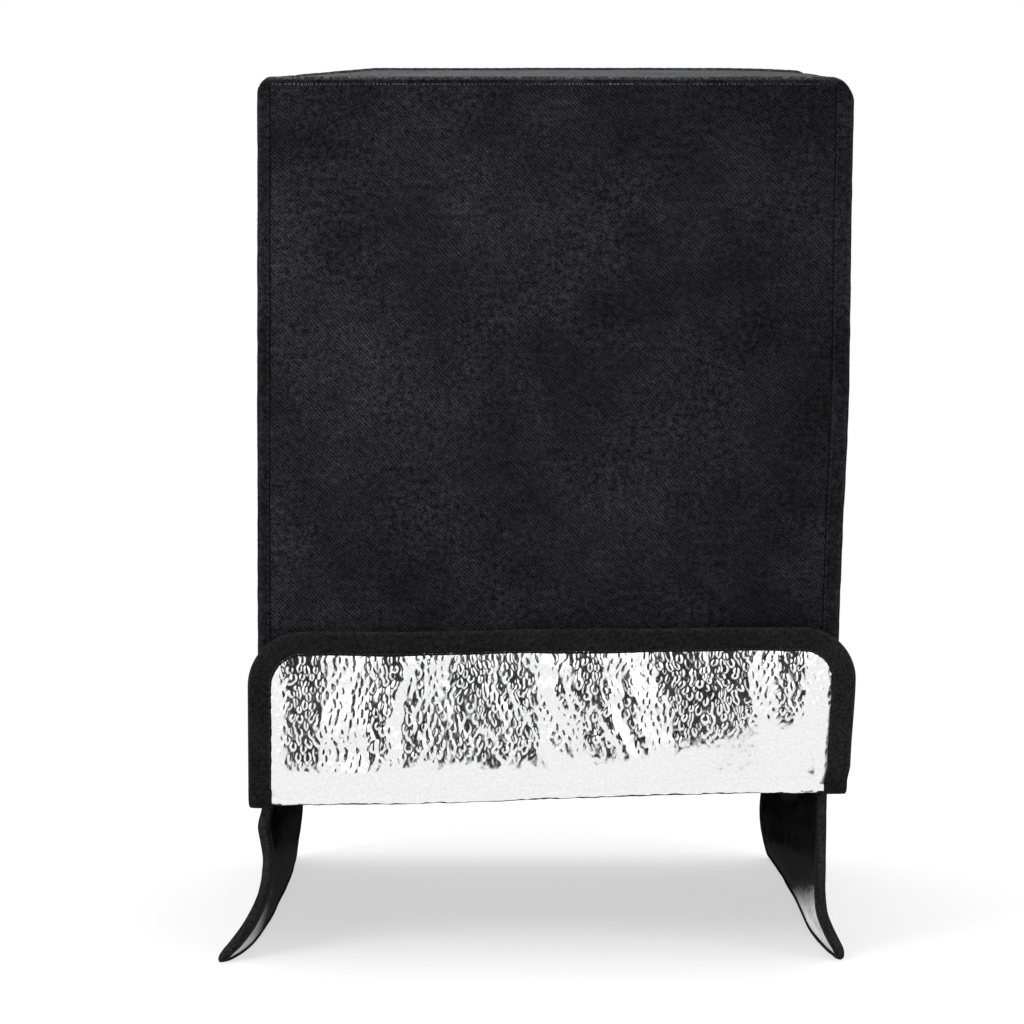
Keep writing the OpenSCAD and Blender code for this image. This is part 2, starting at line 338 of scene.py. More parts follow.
def make(name, part, material, sharp=48):
    """Builds a mesh object; edges sharper than this many degrees are not smoothed."""
    verts = np.asarray(part.verts, float).reshape(-1, 3)
    flat = np.concatenate([part.quads.ravel()] + [np.asarray(n, np.int64) for n in part.ngons])
    sizes = np.array([4] * len(part.quads) + [len(n) for n in part.ngons], np.int64)
    starts = np.concatenate([[0], np.cumsum(sizes)[:-1]])
    wear = np.zeros(len(verts)) if part.wear is None else part.wear.ravel()
    mesh = bpy.data.meshes.new(name)
    mesh.vertices.add(len(verts))
    mesh.vertices.foreach_set("co", (verts * 0.001).astype(np.float32).ravel())
    mesh.loops.add(len(flat))
    mesh.polygons.add(len(sizes))
    mesh.polygons.foreach_set("loop_start", starts.astype(np.int32))
    mesh.polygons.foreach_set("vertices", flat.astype(np.int32))
    mesh.update(calc_edges=True)
    layer = mesh.uv_layers.new(name="mm")
    layer.data.foreach_set("uv", part.uvs.reshape(-1, 2)[flat].astype(np.float32).ravel())
    attribute = mesh.attributes.new("wear", "FLOAT", "POINT")
    attribute.data.foreach_set("value", wear.astype(np.float32))
    work = bmesh.new()
    work.from_mesh(mesh)
    bmesh.ops.recalc_face_normals(work, faces=work.faces)
    work.to_mesh(mesh)
    work.free()
    mesh.polygons.foreach_set("use_smooth", np.ones(len(mesh.polygons), bool))
    mesh.set_sharp_from_angle(angle=math.radians(sharp))
    piece = add_object(name, mesh)
    mesh.materials.append(material)
    return piece


def add_object(name, data):
    made = bpy.data.objects.new(name, data)
    bpy.context.scene.collection.objects.link(made)
    return made


def slab(face, back, uv, thin=1):
    """A closed sheet between two grids of points; the back keeps every thin-th row and column."""
    front_ids = np.arange(face[..., 0].size).reshape(face.shape[:2])
    back = back[::thin, ::thin]
    back_ids = np.arange(back[..., 0].size).reshape(back.shape[:2]) + front_ids.size
    a, b = front_ids, back_ids
    quads = np.concatenate([
        np.stack([a[:-1, :-1], a[1:, :-1], a[1:, 1:], a[:-1, 1:]], -1).reshape(-1, 4),
        np.stack([b[:-1, :-1], b[:-1, 1:], b[1:, 1:], b[1:, :-1]], -1).reshape(-1, 4)])
    rim = []
    for edge_a, edge_b in ((a[:, 0], b[:, 0]), (a[:, -1][::-1], b[:, -1][::-1]),
                           (a[0, ::-1], b[0, ::-1]), (a[-1], b[-1])):
        for i in range(len(edge_b) - 1):
            span = list(edge_a[i * thin:(i + 1) * thin + 1])
            rim.append([edge_b[i], edge_b[i + 1]] + span[::-1])
    verts = np.concatenate([face.reshape(-1, 3), back.reshape(-1, 3)])
    uvs = np.concatenate([uv.reshape(-1, 2), uv[::thin, ::thin].reshape(-1, 2)])
    return Part(verts, quads, uvs, rim)


def ring_quads(ids):
    """Quads between neighbouring rings of point numbers, (stations, ring points)."""
    beside = np.roll(ids, -1, axis=1)
    return np.stack([ids[:-1], beside[:-1], beside[1:], ids[1:]], -1).reshape(-1, 4)


def tube(rings, uv, wear):
    """A solid swept through the rings, (stations, ring points, 3), with flat caps."""
    ids = np.arange(rings[..., 0].size).reshape(rings.shape[:2])
    caps = [list(ids[0][::-1]), list(ids[-1])]
    return Part(rings.reshape(-1, 3), ring_quads(ids), uv.reshape(-1, 2), caps, wear.ravel())


def merge(parts):
    starts = np.cumsum([0] + [len(part.verts) for part in parts])
    verts, _, uvs, _, wear = zip(*parts)
    placed = list(zip(parts, starts))
    return Part(np.concatenate(verts),
                np.concatenate([part.quads + start for part, start in placed]),
                np.concatenate(uvs),
                [[i + start for i in ngon] for part, start in placed for ngon in part.ngons],
                np.concatenate(wear))


def capsules(centres, directions, normals, length=2.3, radius=0.27, lift=0.16):
    """Small arched threads, each of six rings of six points."""
    centres, directions, normals = (np.asarray(a, float)
                                    for a in (centres, directions, normals))
    across = np.cross(directions, normals)
    t = np.linspace(-1, 1, 6)
    angle = np.arange(6) * TAU / 6
    swell = radius * np.sqrt(np.clip(1 - (0.94 * t) ** 2, 0.02, 1))[:, None]
    arch = (lift - (lift + radius) * t ** 4)[:, None]
    verts = (centres[:, None, None]
             + directions[:, None, None] * (t * length / 2)[None, :, None, None]
             + normals[:, None, None] * (arch + swell * np.sin(angle))[None, :, :, None]
             + across[:, None, None] * (swell * np.cos(angle))[None, :, :, None])
    count = len(centres)
    quads = (np.arange(count) * 36)[:, None, None] + ring_quads(np.arange(36).reshape(6, 6))
    caps = []
    for i in range(count):
        caps.append([i * 36 + j for j in range(5, -1, -1)])
        caps.append([i * 36 + 30 + j for j in range(6)])
    uvs = points(np.tile(np.repeat(t * length / 2, 6), count), np.tile(angle, 6 * count))
    return Part(verts.reshape(-1, 3), quads.reshape(-1, 4), uvs, caps, np.zeros(count * 36))


def emboss(x, y):
    """Height of flat-topped upright ovals in uneven brick rows, in millimetres."""
    pitch_x, pitch_y = 4.5, 7.6
    x, y = (x + 1.5 * noise(x / 9, y / 12, 201) + 0.7 * noise(x / 4, y / 5, 203),
            y + 2.2 * noise(x / 10, y / 16, 202))
    row = np.floor(y / (pitch_y / 2))
    in_row = y / (pitch_y / 2) - row - 0.5
    height = np.zeros(x.shape)
    for i in (-1, 0, 1):
        near_row = row + i
        brick = x / pitch_x + 0.5 * (near_row % 2)
        for j in (-1, 0, 1):
            cell = np.floor(brick) + j
            # four random numbers in -0.5..0.5 for each oval
            seeds = [cell * 12.9898 + near_row * 78.233 + n * 37.719 for n in range(4)]
            shift_x, shift_y, width, tilt = (np.modf(abs(np.sin(seed)) * 4375.85)[0] - 0.5
                                             for seed in seeds)
            off_x = (brick - cell - 0.5 - 0.42 * shift_x) * pitch_x
            off_y = (in_row - i - 0.45 * shift_y) * pitch_y / 2
            off_x = off_x + 0.22 * tilt * off_y
            oval = ((off_x / (1.25 + 0.55 * width)) ** 2
                    + (off_y / (2.45 + 1.3 * tilt)) ** 2)
            height = np.maximum(height, (0.95 + 0.6 * width) * smooth(1.0, 0.42, oval))
    return height


# ------------------------------------------------------------------ node trees

class Signal:
    """An output of a shader node; arithmetic on it adds Math nodes."""

    def __init__(self, nodes, node, output=0):
        self.nodes, self.node, self.output = nodes, node, output

    def __getitem__(self, output):
        """Another output of the same node."""
        return Signal(self.nodes, self.node, output)

    def apply(self, operation, second=0.0, third=0.0, clamp=False):
        return self.nodes.add("Math", {0: self, 1: second, 2: third},
                              operation=operation, use_clamp=clamp)

    __add__ = partialmethod(apply, "ADD")
    __sub__ = partialmethod(apply, "SUBTRACT")
    __mul__ = partialmethod(apply, "MULTIPLY")
    __truediv__ = partialmethod(apply, "DIVIDE")
    max = partialmethod(apply, "MAXIMUM")

    def wave(self):
        """Sine with a period of 1."""
        return (self * TAU).apply("SINE")

    def line(self, gain, offset, clamp=False):
        return self.apply("MULTIPLY_ADD", gain, offset, clamp)

    def angle_line(self, gain, degrees, value=0.0):
        """Line that has this value at this angle, clamped to 0..1; the signal is in radians."""
        return self.line(gain, value - gain * math.radians(degrees), clamp=True)

    def complement(self, clamp=False):
        """1 minus the signal."""
        return self.nodes.add("Math", {0: 1.0, 1: self, 2: 0.0},
                              operation="SUBTRACT", use_clamp=clamp)

    def ramp(self, low, high, start=0.0, end=1.0):
        """Smooth change from start at low to end at high."""
        return self.nodes.add("MapRange", {0: self, 1: low, 2: high, 3: start, 4: end},
                              interpolation_type="SMOOTHSTEP")


class Nodes:
    """The node tree of a material or world."""

    def __init__(self, owner):
        owner.use_nodes = True
        self.tree = owner.node_tree
        self.tree.nodes.clear()

    def add(self, kind, inputs=None, **settings):
        """Adds a node; inputs maps socket names or numbers to values or signals."""
        node = self.tree.nodes.new("ShaderNode" + kind)
        for key, value in settings.items():
            setattr(node, key, value)
        for key, value in (inputs or {}).items():
            if isinstance(value, Signal):
                self.tree.links.new(value.node.outputs[value.output], node.inputs[key])
            else:
                node.inputs[key].default_value = value
        return Signal(self, node)

    def split(self, vector):
        parts = self.add("SeparateXYZ", {0: vector})
        return parts[0], parts[1], parts[2]


class SheetNodes(Nodes):
    """Nodes of a material laid out on the millimetre UV map."""

    def __init__(self, name):
        self.material = bpy.data.materials.new(name)
        super().__init__(self.material)
        self.place = self.add("UVMap", uv_map="mm")

    def noise(self, scale, detail=2.0, roughness=0.5, stretch=(1, 1), shift=0.0):
        place = self.add("Mapping", {0: self.place, "Location": (shift, shift * 0.7, shift),
                                     "Scale": (scale * stretch[0], scale * stretch[1], 1)})
        return self.add("TexNoise", {"Vector": place, "Scale": 1.0, "Detail": detail,
                                     "Roughness": roughness})

    def painted_light_gain(self, edge):
        """Brightness factor that grows by edge where the wear attribute is 1: painted highlights,
        and painted shade where the attribute is below 0.
        """
        return self.add("Attribute", attribute_name="wear")["Fac"].line(edge, 1.0)

    def tint(self, value, colour):
        return self.add("VectorMath", {0: colour, "Scale": value}, operation="SCALE")

    def bump(self, height, strength, distance):
        return self.add("Bump", {"Strength": strength, "Distance": distance, "Height": height})

    def finish(self, **inputs):
        shader = self.add("BsdfPrincipled", {k.replace("_", " "): v for k, v in inputs.items()})
        self.add("OutputMaterial", {0: shader})
        self.material.diffuse_color = (0.05, 0.05, 0.05, 1)
        return self.material


# ------------------------------------------------------------------- materials

def cloth_material(name, level, contrast=1.0, edge=0.55, sheen=0.008):
    """Black coated twill: fine diagonal ribs that fade in and out, mottling, a dusty sheen, painted
    light to the left, painted shade low down, and painted highlights where the wear attribute is
    set.
    """
    nodes = SheetNodes(name)
    x, y = nodes.split(nodes.place)[:2]
    diagonal, rib_pitch, yarn_pitch = 0.70711, 1.48, 0.92
    wobble = nodes.noise(0.11, shift=3) * 1.6 + nodes.noise(0.42, shift=17) * 0.9
    across = (x + y) * (diagonal / rib_pitch) + wobble
    rib = across.wave()
    # every second rib has its yarns set half a pitch along
    yarn = ((x - y) * (diagonal / yarn_pitch) + across.apply("FLOOR") * 0.5).wave()
    fuzz = nodes.noise(1.25, detail=3, roughness=0.75)
    # where the weave shows, and three sizes of mottling
    fade = nodes.noise(0.022, shift=11).ramp(0.36, 0.62, 0.30, 1.0)
    broad = nodes.noise(0.0125, detail=3, roughness=0.55, shift=7).ramp(0.30, 0.72, 0.66, 1.40)
    patches = nodes.noise(0.06, detail=3, roughness=0.6, shift=5).ramp(0.3, 0.7, 0.84, 1.18)
    nap = nodes.noise(0.33, detail=4, roughness=0.85, shift=13)
    # weights of the weave, the black offset, and the fuzz and nap
    grain = (rib * (0.80 * contrast) + yarn * (1.45 * contrast)) * fade
    grain = (grain + -6.15 + (fuzz * 6.8 + nap * 7.5)).max(0.10)
    # painted light: lighter to the left, as lit from the left, and painted shade, darker low down
    painted_light_drift = x.ramp(-150.0, 130.0, 1.12, 0.84) * y.ramp(60.0, 300.0, 0.90, 1.06)
    value = broad * patches * grain * painted_light_drift
    # painted highlights and painted shade from the wear attribute
    value = value * nodes.painted_light_gain(edge) * level
    height = (rib * 0.55 + yarn * 0.28) * fade + fuzz * 0.7
    return nodes.finish(
        Base_Color=nodes.tint(value, colour=(1.0, 1.0, 1.10)),
        Roughness=fuzz.ramp(0.2, 0.8, 0.72, 0.9), Specular_IOR_Level=0.035,
        Sheen_Weight=sheen, Sheen_Roughness=0.45, Sheen_Tint=(0.9, 0.92, 1.0, 1.0),
        Normal=nodes.bump(height, strength=0.9, distance=0.00022))


def tape_material(name, level):
    """Black woven tape: fine cross ribs, flecks, a painted highlight along its edges and painted
    light towards the right end of the front flap.
    """
    nodes = SheetNodes(name)
    x, y = nodes.split(nodes.place)[:2]
    rib_pitch, cross_pitch = 0.78, 0.62
    rib = (x * (TAU / rib_pitch)).apply("SINE")
    cross = (y * (TAU / cross_pitch)).apply("SINE")
    fuzz = nodes.noise(1.0, detail=3, roughness=0.8)
    fleck = nodes.noise(0.9, roughness=0.7, shift=4).ramp(0.60, 0.74)
    broad = nodes.noise(0.05, detail=3, roughness=0.6, shift=2).ramp(0.3, 0.7, 0.84, 1.18)
    nap = nodes.noise(0.42, detail=4, roughness=0.85, shift=15)
    # weights of the weave, fuzz and nap, then the flecks with the black offset
    value = (rib + cross) * 0.14 + (fuzz * 3.6 + nap * 4.2) + fleck.line(0.60, -3.05)
    value = value.max(0.15) * broad
    # painted highlight and painted light from the wear attribute
    value = value * nodes.painted_light_gain(1.0) * level
    height = rib * 0.5 + cross * 0.25 + fuzz * 0.8
    return nodes.finish(
        Base_Color=nodes.tint(value, colour=(1.0, 1.0, 1.06)), Roughness=0.80,
        Specular_IOR_Level=0.04, Sheen_Weight=0.010, Sheen_Roughness=0.4,
        Sheen_Tint=(0.9, 0.93, 1.0, 1.0),
        Normal=nodes.bump(height, strength=0.45, distance=0.00014))


def oval_bumps(nodes):
    """Embossed ovals in brick rows, 0 to 1 high."""
    x, y = nodes.split(nodes.place)[:2]
    pitch_x, pitch_y = 3.9, 3.05
    row = (y / pitch_y).apply("FLOOR")
    in_y = (y / pitch_y - row - 0.5) * pitch_y
    brick = x / pitch_x + row.apply("FLOORED_MODULO", 2.0) * 0.5
    in_x = (brick.apply("FRACT") - 0.5) * pitch_x
    # half width 1.3, half height 1.6
    oval = (in_x / 1.3).apply("POWER", 2.0) + (in_y / 1.6).apply("POWER", 2.0)
    return oval.complement(clamp=True)


def foil_material(name, ovals=False, rough=0.10, tone=0.88):
    """Aluminised film with fine creases; ovals adds embossing where the mesh doesn't hold it."""
    nodes = SheetNodes(name)
    fine = nodes.noise(0.85, detail=3, roughness=0.6, stretch=(1.3, 0.8))
    creases = nodes.noise(0.22, detail=3, roughness=0.55, stretch=(1.5, 0.6), shift=9)
    height = fine * 0.30 + creases * 0.9
    if ovals:
        height = height + oval_bumps(nodes) * 1.6
    dull = nodes.noise(0.05, detail=3, roughness=0.6, shift=6)
    speck = nodes.noise(0.75, detail=3, roughness=0.8, shift=21).ramp(0.40, 0.62, 0.90, 1.0)
    value = speck * nodes.noise(0.4, detail=3, roughness=0.6, shift=1).line(0.14, tone)
    strength, distance = (0.6, 0.00030) if ovals else (0.30, 0.00014)
    return nodes.finish(
        Base_Color=nodes.tint(value, colour=(1.0, 1.0, 1.01)), Metallic=1.0,
        Roughness=dull.ramp(0.3, 0.75, rough, rough + 0.07),
        Normal=nodes.bump(height, strength, distance))


def thread_material(name):
    nodes = SheetNodes(name)
    x, y = nodes.split(nodes.place)[:2]
    twist = (x * 2.2 + y * 0.5).wave()
    value = twist.line(0.25, nodes.noise(1.5)) * 0.026 + 0.008
    return nodes.finish(
        Base_Color=nodes.tint(value, colour=(1, 1, 1.03)), Roughness=0.7,
        Specular_IOR_Level=0.08, Sheen_Weight=0.02,
        Normal=nodes.bump(twist, strength=0.5, distance=0.00008))


CLOTH = cloth_material("black_twill", level=0.0088)
# a lighter copy of the twill for the top: painted sheen for the grazing light across the top
TOP_CLOTH_PAINTED_SHEEN = cloth_material("black_twill_top_painted_sheen", level=0.0400, sheen=0.08)
STRIP = cloth_material("black_seam_cloth", level=0.0074, contrast=0.25)
# edge=4.0 strengthens the painted highlight on the bead and the painted light on the top leg of the
# top strip
EDGE = cloth_material("black_edge_cloth", level=0.0100, contrast=0.3, edge=4.0)
TAPE = tape_material("black_binding_tape", level=0.0078)
FOIL = foil_material("embossed_foil")
FOIL_WALL = foil_material("embossed_foil_wall", ovals=True, rough=0.16)
# a darker copy of the foil: painted shade inside the side flaps, the hinges and the back fold
FOIL_PAINTED_SHADE = foil_material("embossed_foil_painted_shade", rough=0.14, tone=0.25)
THREAD = thread_material("black_thread")


def attach(piece, body, slot, *replaced):
    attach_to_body(piece, body)
    if replaced:
        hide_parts(*replaced)


# --------------------------------------------------------- walls and top panel

def wall(name, place, rows, columns, cloth=CLOTH, pull=0.0):
    """place(across, up, depth) is the nominal point; pull draws the lining in from the edges."""
    across, up = grid(rows, columns)
    uv = points(across, up)
    part = slab(body_map(place(across, up, 0.0)), body_map(place(across, up, 3.35)), uv)
    attach(make(name + "_cloth", part, cloth), "tent_body", "outer_fabric",
           name + "_fabric", name + "_core")
    rows, columns = rows * (1 - pull / rows[-1]), columns * (1 - pull / columns[-1])
    across, up = grid(rows, columns)
    quilt = 0.35 * noise(across / 17 + 1, up / 46, 51) + 0.25 * noise(across / 8, up / 20, 52)
    edge = np.minimum.reduce([across - rows[0], rows[-1] - across,
                              up - columns[0], columns[-1] - up])
    depth = 4.0 + abs(quilt) * smooth(0, 12, edge)
    part = slab(body_map(place(across, up, depth)), body_map(place(across, up, 3.4)), uv)
    attach(make(name + "_lining", part, FOIL_WALL), "tent_body", "foil_lining", name + "_foil")


def finer_ends(inner, count, step):
    """Stations across the whole face, closer together beyond inner."""
    return joined(np.linspace(-FACE, -inner, count), spaced(-inner, inner, step),
                  np.linspace(inner, FACE, count))


def wall_heights(bottom):
    return joined(spaced(bottom, 434, 3.6), np.linspace(434, 446.2, 9))


x_run = finer_ends(134, 11, 3.4)
y_run = spaced(-144.9, 144.9, 3.6)
wall("front_wall", lambda a, z, depth: points(a, -FACE + depth, z), x_run, wall_heights(88))
wall("back_wall", lambda a, z, depth: points(-a, FACE - depth, z), x_run, wall_heights(88))
wall("left_wall", lambda a, z, depth: points(-FACE + depth, -a, z), y_run, wall_heights(95))
wall("right_wall", lambda a, z, depth: points(FACE - depth, a, z), y_run, wall_heights(95))
wall("top_panel", lambda x, y, depth: points(x * 0.9994, y * 0.9994, TOP - 1 - depth),
     x_run, finer_ends(143, 7, 3.6), TOP_CLOTH_PAINTED_SHEEN, pull=5.0)


# ------------------------------------------------------ corner and edge strips

SIDE_LEG = 8.0          # width of a corner strip on the side wall
# corner, side in x, side in y, width of the strip on the front or back wall
CORNERS = [("front_left", -1, -1, 6.8), ("front_right", 1, -1, 9.4),
           ("back_left", -1, 1, 8.0), ("back_right", 1, 1, 8.0)]


def strip_section(front_leg):
    """L-shaped section as (along, out); along is negative on the front or back leg."""
    out = np.array([0.10, 0.42, 0.55, 0.34, 0.62, 0.86, 0.92, 0.94, 0.95])

    def leg(width):
        return np.array([width, width - 0.25, width - 0.7, width - 1.15, width - 1.7,
                         width - 2.6, width * 0.5, 2.2, 0.8])
    return (np.concatenate([-leg(front_leg), [0], leg(SIDE_LEG)[::-1]]),
            np.concatenate([out, [0.95], out[::-1]]))


def corner_strip(corner, side_x, side_y, front_leg):
    flat, out = strip_section(front_leg)
    z = spaced(88.0, 446.9, 1.15)[:, None]
    ridge = bell(abs(flat)[None] - (front_leg - 1.2), 0.9)
    pucker = 0.10 * np.sin(z * TAU / 3.0) * ridge
    pucker = pucker + 0.16 * noise(z / 7, flat[None] / 3 + 5 * side_x, 61 + side_y)
    wander = 0.30 * noise(z / 34, side_x * 2 + side_y, 62) * (abs(flat)[None] > 3)
    out = out[None] + pucker * (out[None] > 0.3)

    def inward(along, out):
        """Distances in from the nominal corner in x and y."""
        depth = 0.95 - out
        return (np.where(along > 0, depth, np.maximum(-along, depth)),
                np.where(along < 0, depth, np.maximum(along, depth)))
    along = flat[None] + np.sign(flat)[None] * wander
    x, y = (np.concatenate(pair, 1)
            for pair in zip(inward(along, out), inward(along[:, ::-1], 0.03)))
    rings = points(side_x * (HALF - x), side_y * (HALF - y), z)
    uv = points(np.concatenate([along, along[:, ::-1]], 1), z)
    # painted highlight along the rounded corner, painted shade along the strip's two seam edges
    edge = -1.3 * (abs(flat) > np.where(flat < 0, front_leg, SIDE_LEG) - 0.5)
    wear = np.concatenate([(bell(flat, 1.3) + edge)[None] + 0 * z, 0 * along], 1)
    attach(make("corner_strip_" + corner, tube(body_map(rings), uv, wear), STRIP),
           "tent_body", "seam_tape", corner + "_corner_tape")


for corner_row in CORNERS:
    corner_strip(*corner_row)

# Section of the top edge strip as (inset, depth below the top): outer leg, bead, groove,
# top leg, then back underneath. The first TOP_SKIN points are the visible skin.
TOP_SECTION = np.array([
    (0.30, 3.0), (0.05, 2.7), (0.12, 2.25), (0.0, 1.8), (-0.15, 1.1), (-0.12, 0.4),
    (0.15, -0.15), (0.6, -0.42), (1.15, -0.36), (1.65, 0.0), (1.95, 0.42), (2.35, 0.44),
    (2.9, 0.12), (3.8, 0.08), (4.6, 0.34), (5.2, 0.12), (5.9, 0.38), (6.2, 0.80), (6.1, 0.93),
    (3.0, 0.97), (1.05, 0.97), (0.97, 1.05), (0.97, 2.9)])
TOP_SKIN = 18


def edge_path():
    """Closed rounded square round the top: (x, y, inward x, inward y) stations."""
    radius, step = 1.2, 2.0
    centre = HALF - radius
    length = 2 * centre
    count = int(length / step)
    path = []
    for i, (side_x, side_y) in enumerate(((1, 1), (-1, 1), (-1, -1), (1, -1))):
        for j in range(7):
            angle = i * math.pi / 2 + (j / 6) * math.pi / 2
            path.append((side_x * centre + radius * math.cos(angle),
                         side_y * centre + radius * math.sin(angle),
                         -math.cos(angle), -math.sin(angle)))
        x, y, in_x, in_y = path[-1]
        for j in range(1, count):
            path.append((x + in_y * length * j / count, y - in_x * length * j / count,
                         in_x, in_y))
    return np.array(path)


def top_strip():
    path = edge_path()
    arc = travel(path[:, :2])[:, None]
    inset, depth = TOP_SECTION.T[:, None]
    number = np.arange(len(TOP_SECTION))
    wobble = 0.10 * noise(arc / 9, inset / 3, 71) + 0.07 * np.sin(arc * TAU / 3.1)
    wobble = wobble * (number < TOP_SKIN)
    x, y, in_x, in_y = path.T[..., None]
    moved = inset - wobble * (depth > 0.6) * 0.5
    rings = points(x + in_x * moved, y + in_y * moved, TOP - (depth - wobble * (depth < 0.6)))
    ids = np.arange(rings[..., 0].size).reshape(rings.shape[:2])
    # painted highlight on the bead, and painted light on the top leg
    wear = bell(number - 6.5, 1.6) + 0.6 * (number > 7)
    part = Part(body_map(rings), ring_quads(np.vstack([ids, ids[:1]])),
                points(arc, travel(TOP_SECTION)), (), np.broadcast_to(wear, ids.shape))
    attach(make("top_edge_strip", part, EDGE), "tent_body", "seam_tape", "top_edge_tape")


top_strip()


def body_stitches():
    """Stitches down both legs of the corner strips and round both legs of the top strip."""
    stitches = []       # (centre, direction, normal)
    face = 149.42
    for _, side_x, side_y, front_leg in CORNERS:
        for z in np.arange(91.0, 443, 3.0):
            stitches.append(((side_x * (HALF - front_leg + 1.2), side_y * face, z),
                             (0, 0, 1), (0, side_y, 0)))
            stitches.append(((side_x * face, side_y * (HALF - SIDE_LEG + 1.2), z),
                             (0, 0, 1), (side_x, 0, 0)))
    for t in np.arange(-139, 139.1, 3.1):
        for side in (-1, 1):
            stitches += [((t, side * 150.05, 449.1), (1, 0, 0), (0, side, 0)),
                         ((side * 150.05, t, 449.1), (0, 1, 0), (side, 0, 0)),
                         ((t, side * 144.9, 449.85), (1, 0, 0), (0, 0, 1)),
                         ((side * 144.9, t, 449.85), (0, 1, 0), (0, 0, 1))]
    part = capsules(*zip(*stitches))
    part = part._replace(verts=body_map(part.verts))
    attach(make("body_stitches", part, THREAD, sharp=80), "tent_body", "seam_tape")


body_stitches()


# ----------------------------------------------------------------------- flaps

# Half width, reach at the hinge end and at the free edge, radius of the free corners.
Shape = namedtuple("Shape", "half start end radius")
LONG_FLAP = Shape(151.5, 3.0, 84.0, 28.0)
SIDE_FLAP = Shape(SIDE_HALF, 8.0, 86.8, 8.0)
BINDING = 12.0          # visible width of the edging
SHEET_INSET = 2.3       # gap from the flap outline to the edge of its sheets

# Visible half of the U-shaped edging section: (distance in from the edge, out)
EDGE_SKIN = [(12, 2.10), (11.85, 2.34), (11.4, 2.46), (10.9, 2.22), (10.4, 2.40), (9.2, 2.60),
             (6.0, 2.68), (3.4, 2.66), (2.0, 2.45), (1.0, 1.98), (0.36, 1.25), (0.04, 0.45)]
EDGE_INSIDE = [(12, -2.06), (6.0, -2.06), (2.0, -2.06), (1.45, -1.6), (1.3, 0.0), (1.45, 1.6),
               (2.0, 2.06), (6.0, 2.06), (12, 2.06)]
EDGE_SECTION = np.array(EDGE_SKIN + [(n, -out) for n, out in reversed(EDGE_SKIN)] + EDGE_INSIDE)


def outline(shape, step=1.3):
    """Stations round a flap's free edge: (along, reach, inward along, inward reach)."""
    half, start, end, radius = shape
    count = max(8, int(radius * math.pi / 2 / step))

    def corner(centre, first):
        for i in range(1, count + 1):
            angle = first - i / count * math.pi / 2
            yield (centre + radius * math.cos(angle), end - radius + radius * math.sin(angle),
                   -math.cos(angle), -math.sin(angle))
    path = [(-half, reach, 1.0, 0.0) for reach in spaced(start, end - radius, step)]
    path += corner(-half + radius, math.pi)
    path += [(along, end, 0.0, -1.0) for along in spaced(-half + radius, half - radius, step)[1:]]
    path += corner(half - radius, math.pi / 2)
    path += [(half, reach, -1.0, 0.0) for reach in spaced(end - radius, start, step)[1:]]
    return np.array(path)


def edging_ring(path, width, seed):
    """Rings, UVs and painted light of the edging along path, in flap coordinates."""
    inset, out = EDGE_SECTION.T[:, None]
    skin = np.arange(len(EDGE_SECTION)) < 2 * len(EDGE_SKIN)
    arc = travel(path[:, :2])[:, None]
    width = width[:, None]
    width = width + 0.35 * noise(arc / 23, 0.5, seed) * (width > 6)
    # the round edge keeps its size, the rest of the section stretches to the width
    deep = np.where(inset > 2.6, 2.6 + (inset - 2.6) * (width - 2.6) / (12 - 2.6), inset)
    puff = 0.10 * noise(arc / 5, inset / 4, seed + 1) + 0.12 * noise(arc / 16, inset / 6, seed + 2)
    puff = puff + 0.06 * np.sin(arc * TAU / 3.0) * bell(inset - 10.9, 1.2)
    out = out + np.sign(out) * (puff * skin * (inset > 0.5))
    along, reach, in_along, in_reach = path.T[..., None]
    rings = points(along + in_along * deep, reach + in_reach * deep, out)
    # painted highlight along the rolled outer edge, and a fainter one along the inner edge
    wear = bell(inset - 0.2, 0.9) * skin + 0.35 * bell(inset - 11.8, 0.3) * skin
    return rings, points(arc, travel(EDGE_SECTION)), np.broadcast_to(wear, out.shape)


def edge_stitches(path, width):
    """Stitches on both faces, 1.1 mm inside the inner edge of the edging."""
    arc = travel(path[:, :2])
    at = np.arange(2.0, arc[-1] - 2.0, 3.0)
    along, reach, in_along, in_reach = (np.interp(at, arc, column) for column in path.T)
    length = np.hypot(in_along, in_reach)
    in_along, in_reach = in_along / length, in_reach / length
    inset = np.interp(at, arc, width) - 1.1
    direction = points(in_reach, -in_along, 0)
    return merge([capsules(points(along + in_along * inset, reach + in_reach * inset, side * 2.30),
                           direction, np.tile([0, 0, float(side)], (len(at), 1)),
                           length=2.2, radius=0.26, lift=0.14)
                  for side in (1, -1)])


def free_edge(along, shape, inset):
    """Reach of the free edge of a sheet inset from the flap outline."""
    past = np.clip(abs(along) - (shape.half - shape.radius), 0, shape.radius - inset)
    return shape.end - shape.radius + np.sqrt(
        np.maximum((shape.radius - inset) ** 2 - past ** 2, 0))


def sheet_grid(shape, stations, shares):
    along, share = grid(stations, shares)
    reach = shape.start + (free_edge(along, shape, SHEET_INSET) - shape.start) * share
    return along, reach


def flap_cloth(name, to_body, along, reach):
    return make(name, slab(to_body(points(along, reach, CLOTH_FACE)),
                           to_body(points(along, reach, CLOTH_BACK)),
                           points(along, FOLD - reach)), CLOTH)


